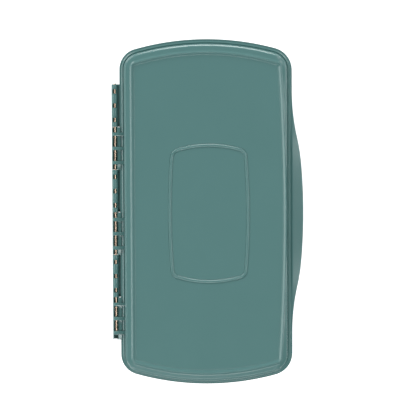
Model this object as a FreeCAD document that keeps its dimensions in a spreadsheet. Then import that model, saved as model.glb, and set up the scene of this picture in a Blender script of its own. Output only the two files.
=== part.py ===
import FreeCAD, Part
import math
import os

import Sketcher

# Pocket fly box: two shallow moulded halves, a pinned hinge along one long side, magnets
# in a thumb bulge on the other, and a slit mat in each half.
# X runs across the box from hinge to thumb bulge, Y along it, Z up. The origin is the
# middle of the case outline, on the face that the box rests on.

doc = FreeCAD.newDocument("FlyBox")
sheet = doc.addObject("Spreadsheet::Sheet", "Sizes")

dimensions = [
    # case outline: straight sides, bowed ends, round corners
    ("case_width", 89.4),
    ("case_length", 180),
    ("case_height", 22),
    ("end_bow", 137),
    ("corner_round", 11.8),
    ("parting_height", 11.2),
    # rim and walls, both halves; insets are measured inwards from the case outline
    ("rim_thickness", 1.1),
    ("bead_inset", 1.15),
    ("bead_foot", 1.5),
    ("bead_top", 0.7),
    ("bead_height", 0.7),
    ("wall_inset", 1.9),
    ("shoulder_inset", 2.7),
    ("shoulder_bevel", 0.5),
    ("lid_mouth_inset", 3),
    ("cavity_end_inset", 4.4),
    ("skin", 1.6),
    # lid top: shoulder band, ridge and recessed panel
    ("shoulder_drop", 1.2),
    ("ridge_left", 39.15),
    ("ridge_right", 41),
    ("ridge_side_bow", 1040),
    ("ridge_end", 83.7),
    ("ridge_end_bow", 127),
    ("ridge_corner", 2.4),
    ("ridge_flat", 0.5),
    ("panel_slope", 1.5),
    ("panel_depth", 0.65),
    # ring border on the panel, left bare inside
    ("ring_x", 1.7),
    ("ring_y", -0.3),
    ("ring_side", 20.25),
    ("ring_side_bow", 375),
    ("ring_end", 35.35),
    ("ring_end_bow", 57),
    ("ring_corner", 4),
    ("ring_foot", 1.5),
    ("ring_top", 0.6),
    ("ring_proud", 0.4),
    # base: chamfered bottom edge, and the lip that locates the lid
    ("foot_inset", 4.6),
    ("foot_height", 1.3),
    ("lip_gap", 0.25),
    ("lip_inner_inset", 4),
    ("lip_height", 1.4),
    # thumb bulge
    ("thumb_peak", 5.9),
    ("thumb_crown", 300),
    ("thumb_crown_half", 24),
    ("thumb_flank", 110),
    ("thumb_flank_half", 38.8),
    ("shelf_edge", 1.1),
    ("shelf_rise", 0.7),
    ("shelf_crest_inset", 0.7),
    ("shelf_crest_peak", 1.5),
    ("thumb_lip", 1.6),
    ("pod_bottom", 3),
    ("pod_low_peak", 2),
    ("pod_sink", 0.1),
    ("thumb_root", 1.5),
    ("finger_depth", 2.5),
    ("finger_radius", 21),
    ("finger_floor", 5.5),
    # hinge
    ("hinge_x", 47.5),
    ("hinge_length", 133.6),
    ("knuckle_radius", 1.7),
    ("knuckle_gap", 0.3),
    ("pin_radius", 0.7),
    ("pin_tip", 0.4),
    ("pin_chamfer", 0.15),
    ("pin_grip", 0.4),
    ("base_bore", 0.72),
    ("lid_bore", 0.75),
    ("window_length", 2.3),
    ("window_width", 2),
    ("window_floor", 0.9),
    ("slot_width", 1.5),
    ("trough_width", 2.2),
    ("rib_width", 1.8),
    ("rib_reach", 5.05),
    ("rib_height", 1.9),
    ("end_wall", 0.6),
    ("web_gap", 0.3),
    # magnets
    ("magnet_radius", 2),
    ("magnet_x", 46.3),
    ("magnet_y", 26),
    ("magnet_gap", 0.05),
    ("magnet_side_gap", 0.02),
    ("base_magnet_thickness", 2),
    ("lid_magnet_thickness", 0.8),
    # slit mats
    ("mat_inset", 5.2),
    ("mat_sheet", 1.2),
    ("row_height", 2.6),
    ("row_foot", 4.2),
    ("row_top", 3),
    ("row_length", 72),
    ("row_count", 12),
    ("row_pitch", 13),
    ("slit_depth", 1.9),
    ("slit_mouth", 0.9),
    ("slit_count", 7),
    ("slit_pitch", 10),
    # how far joined solids run into each other, and how far a cut runs past a face
    ("overlap", 0.15),
    ("cut_margin", 1),
]
for line, (alias, size) in enumerate(dimensions, start=1):
    sheet.set("A%d" % line, alias)
    sheet.set("B%d" % line, "%g" % size)
    sheet.setAlias("B%d" % line, alias)
doc.recompute()

up = FreeCAD.Vector(0, 0, 1)


def sized(text):
    # "{name}" in an expression stands for a cell of the sheet
    return text.replace("{", "Sizes.").replace("}", "")


def value(text):
    return float(sheet.evalExpression(sized(text).replace("Sizes.", "")))


def bind(sketch, constraint, name, text):
    # a sketch dimension that follows the sheet
    sketch.renameConstraint(sketch.addConstraint(constraint), name)
    sketch.setExpression("Constraints." + name, sized(text))


def new_body(label):
    body = doc.addObject("PartDesign::Body", label)
    body.Label = label
    return body


def new_sketch(body, name, role="XY_Plane", height="0", shift_x=None, shift_y=None):
    sketch = body.newObject("Sketcher::SketchObject", name)
    plane = next(item for item in body.Origin.OriginFeatures if item.Role == role)
    sketch.AttachmentSupport = [(plane, "")]
    sketch.MapMode = "FlatFace"
    sketch.setExpression("AttachmentOffset.Base.z", sized(height))
    if shift_x:
        sketch.setExpression("AttachmentOffset.Base.x", sized(shift_x))
    if shift_y:
        sketch.setExpression("AttachmentOffset.Base.y", sized(shift_y))
    return sketch


def arc(centre_x, centre_y, radius, start, end):
    circle = Part.Circle(FreeCAD.Vector(centre_x, centre_y, 0), up, radius)
    return Part.ArcOfCircle(circle, start, end)


def segment(x1, y1, x2, y2):
    return Part.LineSegment(FreeCAD.Vector(x1, y1, 0), FreeCAD.Vector(x2, y2, 0))


def corner_centre(side, side_bow, end, end_bow, corner):
    # centre of the corner arc that is tangent to one side and to the upper end
    end_y = end - end_bow
    if not side_bow:
        x = side - corner
        return x, end_y + math.sqrt((end_bow - corner) ** 2 - x ** 2)
    reach_side = side_bow - corner
    reach_end = end_bow - corner
    side_x = side - side_bow
    span = math.hypot(side_x, end_y)
    along = (reach_side ** 2 - reach_end ** 2 + span ** 2) / (2 * span)
    off = math.sqrt(reach_side ** 2 - along ** 2)
    toward_x = -side_x / span
    toward_y = end_y / span
    return side_x + along * toward_x - off * toward_y, along * toward_y + off * toward_x


# Closed outline of two sides, two bowed ends and four round corners, all tangent. The
# right side is split at Y 0. A side's bow is left out where it is straight.
def bowed_outline(sketch, left, right, end, end_bow, corner, left_bow="", right_bow=""):
    corner_size = value(corner)
    end_size = value(end_bow)
    end_y = value(end) - end_size
    right_x, right_y = corner_centre(value(right), right_bow and value(right_bow),
                                     value(end), end_size, corner_size)
    left_x, left_y = corner_centre(value(left), left_bow and value(left_bow),
                                   value(end), end_size, corner_size)
    right_end = math.atan2(right_y - end_y, right_x)
    left_end = math.atan2(left_y - end_y, left_x)
    right_tilt = 0.0
    left_tilt = 0.0
    if right_bow:
        right_tilt = math.atan2(right_y, right_x - value(right) + value(right_bow))
        centre = value(right) - value(right_bow)
        first = arc(centre, 0, value(right_bow), 0, right_tilt)
        last = arc(centre, 0, value(right_bow), -right_tilt, 0)
    else:
        first = segment(value(right), 0, value(right), right_y)
        last = segment(value(right), -right_y, value(right), 0)
    if left_bow:
        left_tilt = math.atan2(left_y, left_x - value(left) + value(left_bow))
        centre = value(left_bow) - value(left)
        middle = arc(centre, 0, value(left_bow), math.pi - left_tilt, math.pi + left_tilt)
    else:
        middle = segment(-value(left), left_y, -value(left), -left_y)
    turn = 2 * math.pi
    sketch.addGeometry([
        first,
        arc(right_x, right_y, corner_size, right_tilt, right_end),
        arc(0, end_y, end_size, right_end, math.pi - left_end),
        arc(-left_x, left_y, corner_size, math.pi - left_end, math.pi - left_tilt),
        middle,
        arc(-left_x, -left_y, corner_size, math.pi + left_tilt, math.pi + left_end),
        arc(0, -end_y, end_size, math.pi + left_end, turn - right_end),
        arc(right_x, -right_y, corner_size, turn - right_end, turn - right_tilt),
        last,
    ])
    for edge in range(9):
        sketch.addConstraint(Sketcher.Constraint("Tangent", edge, 2, (edge + 1) % 9, 1))
    sketch.addConstraint(Sketcher.Constraint("PointOnObject", 0, 1, -1))
    if right_bow:
        sketch.addConstraint(Sketcher.Constraint("PointOnObject", 0, 3, -1))
        bind(sketch, Sketcher.Constraint("Radius", 0, value(right_bow)), "right_bow", right_bow)
        bind(sketch, Sketcher.Constraint("Radius", 8, value(right_bow)), "right_low", right_bow)
    else:
        sketch.addConstraint(Sketcher.Constraint("Vertical", 0))
    bind(sketch, Sketcher.Constraint("DistanceX", 0, 1, value(right)), "right", right)
    if left_bow:
        sketch.addConstraint(Sketcher.Constraint("PointOnObject", 4, 3, -1))
        bind(sketch, Sketcher.Constraint("Radius", 4, value(left_bow)), "left_bow", left_bow)
        bind(sketch, Sketcher.Constraint("DistanceX", 4, 3, value(left_bow) - value(left)),
             "left", left_bow + " - (" + left + ")")
    else:
        sketch.addConstraint(Sketcher.Constraint("Vertical", 4))
        bind(sketch, Sketcher.Constraint("DistanceX", 4, 1, -value(left)),
             "left", "-(" + left + ")")
    for edge, name, sign in ((2, "upper", ""), (6, "lower", "-")):
        centre = sign + "((" + end + ") - (" + end_bow + "))"
        sketch.addConstraint(Sketcher.Constraint("PointOnObject", edge, 3, -2))
        bind(sketch, Sketcher.Constraint("Radius", edge, end_size), name + "_bow", end_bow)
        bind(sketch, Sketcher.Constraint("DistanceY", edge, 3, value(centre)), name, centre)
    for edge in (1, 3, 5, 7):
        bind(sketch, Sketcher.Constraint("Radius", edge, corner_size),
             "corner_%d" % edge, corner)
    return sketch


# The case outline moved inwards, as a sketch at some height
def case_outline(body, name, height, inset):
    half = "{case_width} / 2 - (" + inset + ")"
    return bowed_outline(new_sketch(body, name, height=height), half, half,
                         "{case_length} / 2 - (" + inset + ")",
                         "{end_bow} - (" + inset + ")",
                         "{corner_round} - (" + inset + ")")


# The lid's ridge line moved inwards: straight on the hinge side, bowed on the other three
def ridge_outline(body, name, height, inset, corner):
    return bowed_outline(new_sketch(body, name, height=height),
                         "{ridge_left} - (" + inset + ")",
                         "{ridge_right} - (" + inset + ")",
                         "{ridge_end} - (" + inset + ")",
                         "{ridge_end_bow} - (" + inset + ")",
                         corner,
                         right_bow="{ridge_side_bow} - (" + inset + ")")


# Thumb bulge in plan: crown, two flanks and two hollow feet that run out into the side.
# A lower peak gets flatter arcs, so that the arcs still meet at the same places along Y.
def thumb_outline(body, name, height, side, peak):
    crown_text = "{thumb_crown} * {thumb_peak} / (" + peak + ")"
    flank_text = "{thumb_flank} * {thumb_peak} / (" + peak + ")"
    crown = value(crown_text)
    flank = value(flank_text)
    half = value("{thumb_crown_half}")
    flank_half = value("{thumb_flank_half}")
    inner = value(side + " - {thumb_root}")
    tip = value(side) + value(peak)
    crown_turn = math.asin(half / crown)
    flank_turn = math.asin((flank_half - (crown - flank) * math.sin(crown_turn)) / flank)
    flank_x = tip - (crown - flank) * (1 - math.cos(crown_turn)) - flank
    flank_y = (crown - flank) * math.sin(crown_turn)
    turn_x = flank_x + flank * math.cos(flank_turn)
    foot = (turn_x - value(side)) / (1 - math.cos(flank_turn))
    foot_y = flank_half + foot * math.sin(flank_turn)
    foot_x = value(side) + foot
    sketch = new_sketch(body, name, height=height)
    sketch.addGeometry([
        arc(tip - crown, 0, crown, -crown_turn, crown_turn),
        arc(flank_x, flank_y, flank, crown_turn, flank_turn),
        arc(foot_x, foot_y, foot, math.pi, math.pi + flank_turn),
        segment(value(side), foot_y, inner, foot_y),
        segment(inner, foot_y, inner, -foot_y),
        segment(inner, -foot_y, value(side), -foot_y),
        arc(foot_x, -foot_y, foot, math.pi - flank_turn, math.pi),
        arc(flank_x, -flank_y, flank, -flank_turn, -crown_turn),
    ])
    joints = [("Tangent", 0, 2, 1, 1), ("Tangent", 1, 2, 2, 2), ("Coincident", 2, 1, 3, 1),
              ("Coincident", 3, 2, 4, 1), ("Coincident", 4, 2, 5, 1), ("Coincident", 5, 2, 6, 2),
              ("Tangent", 6, 1, 7, 1), ("Tangent", 7, 2, 0, 1)]
    for joint in joints:
        sketch.addConstraint(Sketcher.Constraint(*joint))
    sketch.addConstraint(Sketcher.Constraint("Horizontal", 3))
    sketch.addConstraint(Sketcher.Constraint("Vertical", 4))
    sketch.addConstraint(Sketcher.Constraint("Horizontal", 5))
    sketch.addConstraint(Sketcher.Constraint("PointOnObject", 0, 3, -1))
    sketch.addConstraint(Sketcher.Constraint("Horizontal", 2, 1, 2, 3))
    sketch.addConstraint(Sketcher.Constraint("Horizontal", 6, 2, 6, 3))
    bind(sketch, Sketcher.Constraint("Radius", 0, crown), "crown", crown_text)
    bind(sketch, Sketcher.Constraint("DistanceX", 0, 3, tip - crown), "tip",
         side + " + (" + peak + ") - " + crown_text)
    bind(sketch, Sketcher.Constraint("DistanceY", 0, 2, half), "crown_end", "{thumb_crown_half}")
    bind(sketch, Sketcher.Constraint("DistanceY", 0, 1, -half), "crown_start",
         "-{thumb_crown_half}")
    bind(sketch, Sketcher.Constraint("Radius", 1, flank), "flank_upper", flank_text)
    bind(sketch, Sketcher.Constraint("Radius", 7, flank), "flank_lower", flank_text)
    bind(sketch, Sketcher.Constraint("DistanceY", 1, 2, flank_half), "turn_upper",
         "{thumb_flank_half}")
    bind(sketch, Sketcher.Constraint("DistanceY", 7, 1, -flank_half), "turn_lower",
         "-{thumb_flank_half}")
    bind(sketch, Sketcher.Constraint("DistanceX", 2, 1, value(side)), "side_upper", side)
    bind(sketch, Sketcher.Constraint("DistanceX", 6, 2, value(side)), "side_lower", side)
    bind(sketch, Sketcher.Constraint("DistanceX", 3, 2, inner), "inner", side + " - {thumb_root}")
    return sketch


# Rectangle between two X values and two Y values of its sketch
def rectangle(sketch, left, right, low, high):
    x1, x2, y1, y2 = value(left), value(right), value(low), value(high)
    sketch.addGeometry([segment(x1, y1, x2, y1), segment(x2, y1, x2, y2),
                        segment(x2, y2, x1, y2), segment(x1, y2, x1, y1)])
    for edge in range(4):
        sketch.addConstraint(Sketcher.Constraint("Coincident", edge, 2, (edge + 1) % 4, 1))
        straight = "Horizontal" if edge % 2 == 0 else "Vertical"
        sketch.addConstraint(Sketcher.Constraint(straight, edge))
    bind(sketch, Sketcher.Constraint("DistanceX", 0, 1, x1), "left", left)
    bind(sketch, Sketcher.Constraint("DistanceX", 0, 2, x2), "right", right)
    bind(sketch, Sketcher.Constraint("DistanceY", 0, 1, y1), "low", low)
    bind(sketch, Sketcher.Constraint("DistanceY", 2, 1, y2), "high", high)
    return sketch


def circle(sketch, x, y, radius):
    centre = FreeCAD.Vector(value(x), value(y), 0)
    sketch.addGeometry(Part.Circle(centre, up, value(radius)))
    bind(sketch, Sketcher.Constraint("DistanceX", 0, 3, value(x)), "x", x)
    bind(sketch, Sketcher.Constraint("DistanceY", 0, 3, value(y)), "y", y)
    bind(sketch, Sketcher.Constraint("Radius", 0, value(radius)), "radius", radius)
    return sketch


def feature(body, kind, name, profile, length=None, back=False):
    item = body.newObject("PartDesign::" + kind, name)
    item.Profile = profile
    if length:
        item.setExpression("Length", sized(length))
    if back:
        item.Reversed = True
    return item


def loft(body, kind, name, lower, upper):
    # straight-sided loft between two outlines with the same count of edges
    item = body.newObject("PartDesign::" + kind, name)
    item.Profile = lower
    item.Sections = [upper]
    item.Ruled = True
    return item


def pipe(body, name, profile, path):
    item = body.newObject("PartDesign::AdditivePipe", name)
    item.Profile = profile
    item.Spine = path
    return item


# Section of a raised line: sloping sides and a flat top, starting just inside the surface
# that it stands on
def raised_line(sketch, x, level, foot, top, height):
    middle = value(x)
    low = value(level + " - {overlap}")
    high = value(level + " + " + height)
    half_foot = value(foot) / 2
    half_top = value(top) / 2
    sketch.addGeometry([segment(middle - half_foot, low, middle + half_foot, low),
                        segment(middle + half_foot, low, middle + half_top, high),
                        segment(middle + half_top, high, middle - half_top, high),
                        segment(middle - half_top, high, middle - half_foot, low)])
    for edge in range(4):
        sketch.addConstraint(Sketcher.Constraint("Coincident", edge, 2, (edge + 1) % 4, 1))
    sketch.addConstraint(Sketcher.Constraint("Horizontal", 0))
    sketch.addConstraint(Sketcher.Constraint("Horizontal", 2))
    bind(sketch, Sketcher.Constraint("DistanceX", 0, 1, middle - half_foot), "foot_left",
         x + " - " + foot + " / 2")
    bind(sketch, Sketcher.Constraint("DistanceX", 0, 2, middle + half_foot), "foot_right",
         x + " + " + foot + " / 2")
    bind(sketch, Sketcher.Constraint("DistanceX", 2, 2, middle - half_top), "top_left",
         x + " - " + top + " / 2")
    bind(sketch, Sketcher.Constraint("DistanceX", 2, 1, middle + half_top), "top_right",
         x + " + " + top + " / 2")
    bind(sketch, Sketcher.Constraint("DistanceY", 0, 1, low), "foot_level",
         level + " - {overlap}")
    bind(sketch, Sketcher.Constraint("DistanceY", 2, 1, high), "top_level",
         level + " + " + height)
    return sketch


# Copies features along the hinge, towards -Y; each step is a count and a pitch
def repeat(body, name, features, steps):
    along = next(item for item in body.Origin.OriginFeatures if item.Role == "Y_Axis")
    pattern = body.newObject("PartDesign::MultiTransform", name)
    pattern.Originals = features
    rows = []
    for index, (count, pitch) in enumerate(steps):
        row = body.newObject("PartDesign::LinearPattern", "%s_step%d" % (name, index + 1))
        row.Direction = (along, [""])
        row.Reversed = True
        row.Mode = "Spacing"
        row.Occurrences = count
        row.setExpression("Offset", sized(pitch))
        rows.append(row)
    pattern.Transformations = rows
    body.Tip = pattern
    return pattern


# The hinge is six equal groups of knuckles. The first, third and fifth from the +Y end
# are the base's, the others the lid's. Sketches for them lie across the hinge, so their
# X is the box's X and their Y is its Z.
group = "({hinge_length} / 6)"
pair = "({hinge_length} / 3)"
third = "({hinge_length} / 18)"


def hinge_sketch(body, name, distance):
    # distance is from the hinge's +Y end
    return new_sketch(body, name, role="XZ_Plane", height=distance + " - {hinge_length} / 2")


def knuckles(body, first, web_low, web_high, web_end):
    # plain barrels with the web that carries them, before anything is cut
    start = first + " + {knuckle_gap} / 2"
    barrel = circle(hinge_sketch(body, "barrel_profile", start),
                    "-{hinge_x}", "{parting_height}", "{knuckle_radius}")
    barrel_pad = feature(body, "Pad", "barrel", barrel, group + " - {knuckle_gap}")
    web = rectangle(hinge_sketch(body, "web_profile", start),
                    "-{hinge_x}", web_end, web_low, web_high)
    web_pad = feature(body, "Pad", "web", web, group + " - {knuckle_gap}")
    return repeat(body, "knuckle_groups", [barrel_pad, web_pad], [(3, pair)])


def hinge_cut(body, name, middle, length, width, low, high):
    # box cut over the pin's line, by the place of its middle along the hinge
    profile = rectangle(hinge_sketch(body, name + "_profile",
                                     middle + " - (" + length + ") / 2"),
                        "-{hinge_x} - " + width + " / 2", "-{hinge_x} + " + width + " / 2",
                        low, high)
    return feature(body, "Pocket", name, profile, length, back=True)


def bore(body, radius, length):
    hole = circle(hinge_sketch(body, "bore_profile", "0"),
                  "-{hinge_x}", "{parting_height}", radius)
    return feature(body, "Pocket", "pin_bore", hole, length)


# Base: tray with a chamfered foot, rim, locating lip, thumb pod, windowed knuckles
def build_base():
    body = new_body("base_shell")
    rim_low = "{parting_height} - {rim_thickness}"
    foot = case_outline(body, "foot_outline", "0", "{foot_inset}")
    sill = case_outline(body, "sill_outline", "{foot_height}", "{shoulder_inset}")
    loft(body, "AdditiveLoft", "foot", foot, sill)
    wall = case_outline(body, "wall_outline", rim_low, "{wall_inset}")
    loft(body, "AdditiveLoft", "wall", sill, wall)
    rim = case_outline(body, "rim_outline", rim_low, "0")
    feature(body, "Pad", "rim", rim, "{rim_thickness}")

    # thumb pod under the lid's shelf
    ledge_low = "{parting_height} - {thumb_lip}"
    ledge = thumb_outline(body, "ledge_outline", ledge_low, "{case_width} / 2", "{thumb_peak}")
    feature(body, "Pad", "ledge", ledge, "{thumb_lip}")
    pod_bottom = thumb_outline(body, "pod_bottom_outline", "{pod_bottom}",
                               "{case_width} / 2 - {shoulder_inset}", "{pod_low_peak}")
    pod_top = thumb_outline(body, "pod_top_outline", ledge_low,
                            "{case_width} / 2 - {wall_inset} - {pod_sink}",
                            "{thumb_peak} + {wall_inset}")
    loft(body, "AdditiveLoft", "pod", pod_bottom, pod_top)
    finger = circle(new_sketch(body, "finger_profile", height="{finger_floor}"),
                    "{case_width} / 2 + {thumb_peak} - {finger_depth} + {finger_radius}",
                    "0", "{finger_radius}")
    feature(body, "Pocket", "finger_scallop", finger,
            "{parting_height} - {finger_floor}", back=True)

    # the lip stands on the wall, inside the lid's, and the cavity runs up through it
    lip = case_outline(body, "lip_outline", "{parting_height}", "{lid_mouth_inset} + {lip_gap}")
    feature(body, "Pad", "lip", lip, "{lip_height}")
    floor = case_outline(body, "floor_outline", "{skin}", "{cavity_end_inset}")
    mouth = case_outline(body, "mouth_outline", "{parting_height} + {lip_height}",
                         "{lip_inner_inset}")
    loft(body, "SubtractiveLoft", "cavity", floor, mouth)

    for sign, name in (("", "upper"), ("-", "lower")):
        seat = circle(new_sketch(body, name + "_magnet_seat", height="{parting_height}"),
                      "{magnet_x}", sign + "{magnet_y}",
                      "{magnet_radius} + {magnet_side_gap}")
        feature(body, "Pocket", name + "_magnet_pocket", seat,
                "{base_magnet_thickness} + {magnet_gap}")

    # hinge: the barrels are open by turns on top, at the windows, and below, so that the
    # bore for the pin needs no core of its own
    knuckles(body, "0", "{parting_height} - {knuckle_radius} + {overlap}",
             "{parting_height} - {web_gap}", "-{case_width} / 2 + {wall_inset} + {overlap}")
    window_cut = hinge_cut(body, "window", third + " / 2", "{window_length}",
                           "{window_width}", "{parting_height} - {window_floor}",
                           "{parting_height} + {knuckle_radius} + {cut_margin}")
    repeat(body, "windows", [window_cut], [(3, third), (3, pair)])
    slot_cut = hinge_cut(body, "slot", "0", third + " - {window_length}", "{slot_width}",
                         "{parting_height} - {knuckle_radius} - {cut_margin}",
                         "{parting_height}")
    repeat(body, "slots", [slot_cut], [(4, third), (3, pair)])
    body.Tip = bore(body, "{base_bore}", "{hinge_length}")
    body.Tip.Reversed = True
    return body


# Lid: rim with a bead on it, drafted wall, bevelled shoulder, band rising to the ridge,
# recessed panel with its ring, thumb shelf, open ribbed knuckles
def build_lid():
    body = new_body("lid_shell")
    rim_top = "{parting_height} + {rim_thickness}"
    shoulder_height = "{case_height} - {shoulder_drop}"
    rim = case_outline(body, "rim_outline", "{parting_height}", "0")
    feature(body, "Pad", "rim", rim, "{rim_thickness}")
    wall = case_outline(body, "wall_outline", rim_top, "{wall_inset}")
    shoulder = case_outline(body, "shoulder_outline", shoulder_height + " - {shoulder_bevel}",
                            "{shoulder_inset}")
    loft(body, "AdditiveLoft", "wall", wall, shoulder)
    bevel = case_outline(body, "bevel_outline", shoulder_height,
                         "{shoulder_inset} + {shoulder_bevel}")
    loft(body, "AdditiveLoft", "shoulder", shoulder, bevel)
    ridge = ridge_outline(body, "ridge_line", "{case_height}", "0", "{ridge_corner}")
    loft(body, "AdditiveLoft", "band", bevel, ridge)
    bead_path = case_outline(body, "bead_path", rim_top, "{bead_inset}")
    bead = raised_line(new_sketch(body, "bead_profile", role="XZ_Plane"),
                       "{case_width} / 2 - {bead_inset}", rim_top,
                       "{bead_foot}", "{bead_top}", "{bead_height}")
    pipe(body, "bead", bead, bead_path)

    # thumb shelf: an even edge, then a slope up to the rim
    shelf = thumb_outline(body, "shelf_outline", "{parting_height}", "{case_width} / 2",
                          "{thumb_peak}")
    feature(body, "Pad", "thumb_shelf", shelf, "{shelf_edge}")
    slope_low = thumb_outline(body, "slope_foot", "{parting_height} + {shelf_edge}",
                              "{case_width} / 2", "{thumb_peak}")
    slope_high = thumb_outline(body, "slope_crest",
                               "{parting_height} + {shelf_edge} + {shelf_rise}",
                               "{case_width} / 2 - {shelf_crest_inset}", "{shelf_crest_peak}")
    loft(body, "AdditiveLoft", "thumb_slope", slope_low, slope_high)

    # recessed panel and the ring on it
    border = ridge_outline(body, "panel_border", "{case_height}", "{ridge_flat}",
                           "{ridge_corner} - {ridge_flat}")
    panel = ridge_outline(body, "panel_outline", "{case_height} - {panel_depth}",
                          "{ridge_flat} + {panel_slope}",
                          "{ridge_corner} - {ridge_flat} - {panel_slope}")
    loft(body, "SubtractiveLoft", "panel_recess", panel, border)
    ring_height = "{case_height} - {panel_depth}"
    ring_path = bowed_outline(
        new_sketch(body, "ring_path", height=ring_height, shift_x="{ring_x}", shift_y="{ring_y}"),
        "{ring_side}", "{ring_side}", "{ring_end}", "{ring_end_bow}", "{ring_corner}",
        left_bow="{ring_side_bow}", right_bow="{ring_side_bow}")
    ring = raised_line(new_sketch(body, "ring_profile", role="XZ_Plane", height="-{ring_y}"),
                       "{ring_x} + {ring_side}", ring_height,
                       "{ring_foot}", "{ring_top}", "{ring_proud}")
    pipe(body, "ring_border", ring, ring_path)

    # inside
    ceiling = "{case_height} - {panel_depth} - {skin}"
    mouth = case_outline(body, "mouth_outline", "{parting_height}", "{lid_mouth_inset}")
    roof = case_outline(body, "roof_outline", ceiling, "{cavity_end_inset}")
    loft(body, "SubtractiveLoft", "cavity", mouth, roof)
    for sign, name in (("", "upper"), ("-", "lower")):
        seat = circle(new_sketch(body, name + "_magnet_seat", height="{parting_height}"),
                      "{magnet_x}", sign + "{magnet_y}",
                      "{magnet_radius} + {magnet_side_gap}")
        feature(body, "Pocket", name + "_magnet_pocket", seat,
                "{lid_magnet_thickness} + {magnet_gap}", back=True)

    # hinge: troughs open on top, bridged by three ribs that run over the rim to the wall,
    # with a slot below each rib
    knuckles(body, group, "{parting_height} + {overlap}", rim_top,
             "-{case_width} / 2 + {bead_inset}")
    rib_middle = group + " + " + third + " / 2"
    rib = rectangle(hinge_sketch(body, "rib_profile", rib_middle + " - {rib_width} / 2"),
                    "-{hinge_x}", "-{hinge_x} + {rib_reach}",
                    "{parting_height} + {overlap}", "{parting_height} + {rib_height}")
    rib_pad = feature(body, "Pad", "rib", rib, "{rib_width}")
    repeat(body, "ribs", [rib_pad], [(3, third), (3, pair)])
    trough_cut = hinge_cut(body, "trough", group, third + " - {rib_width}", "{trough_width}",
                           "{parting_height} - {window_floor}",
                           "{parting_height} + {knuckle_radius} + {cut_margin}")
    repeat(body, "troughs", [trough_cut], [(4, third), (3, pair)])
    slot_cut = hinge_cut(body, "slot", rib_middle, "{rib_width}", "{slot_width}",
                         "{parting_height} - {knuckle_radius} - {cut_margin}",
                         "{parting_height}")
    repeat(body, "slots", [slot_cut], [(3, third), (3, pair)])
    bore(body, "{lid_bore}", "{hinge_length} - {end_wall}").Reversed = True
    wall_start = "{hinge_length} - {knuckle_gap} / 2 - {end_wall}"
    end_wall = circle(hinge_sketch(body, "end_wall_profile", wall_start),
                      "-{hinge_x}", "{parting_height}", "{knuckle_radius}")
    body.Tip = feature(body, "Pad", "end_wall", end_wall, "{end_wall}")
    return body


# Hinge pin: goes in from the +Y end, where its tip shows, and ends inside the last rib
def build_pin():
    body = new_body("hinge_pin")
    rod = circle(hinge_sketch(body, "rod_profile", "-{pin_tip}"),
                 "-{hinge_x}", "{parting_height}", "{pin_radius}")
    pad = feature(body, "Pad", "rod_pad", rod,
                  "{pin_tip} + {hinge_length} - " + third + " / 2 + {pin_grip}")
    doc.recompute()
    chamfer = body.newObject("PartDesign::Chamfer", "tips")
    ends = [index + 1 for index, edge in enumerate(pad.Shape.Edges)
            if edge.Curve.TypeId == "Part::GeomCircle"]
    chamfer.Base = (pad, ["Edge%d" % index for index in ends])
    chamfer.setExpression("Size", sized("{pin_chamfer}"))
    body.Tip = chamfer
    return body


# Disc magnets, glued flush in the pods of the base and in the lid's shelf
def build_magnet(label, side, bottom, thickness):
    disc = doc.addObject("Part::Cylinder", label)
    disc.Label = label
    disc.setExpression("Radius", sized("{magnet_radius}"))
    disc.setExpression("Height", sized(thickness))
    disc.setExpression("Placement.Base.x", sized("{magnet_x}"))
    disc.setExpression("Placement.Base.y", sized(side + "{magnet_y}"))
    disc.setExpression("Placement.Base.z", sized(bottom))
    return disc


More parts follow.
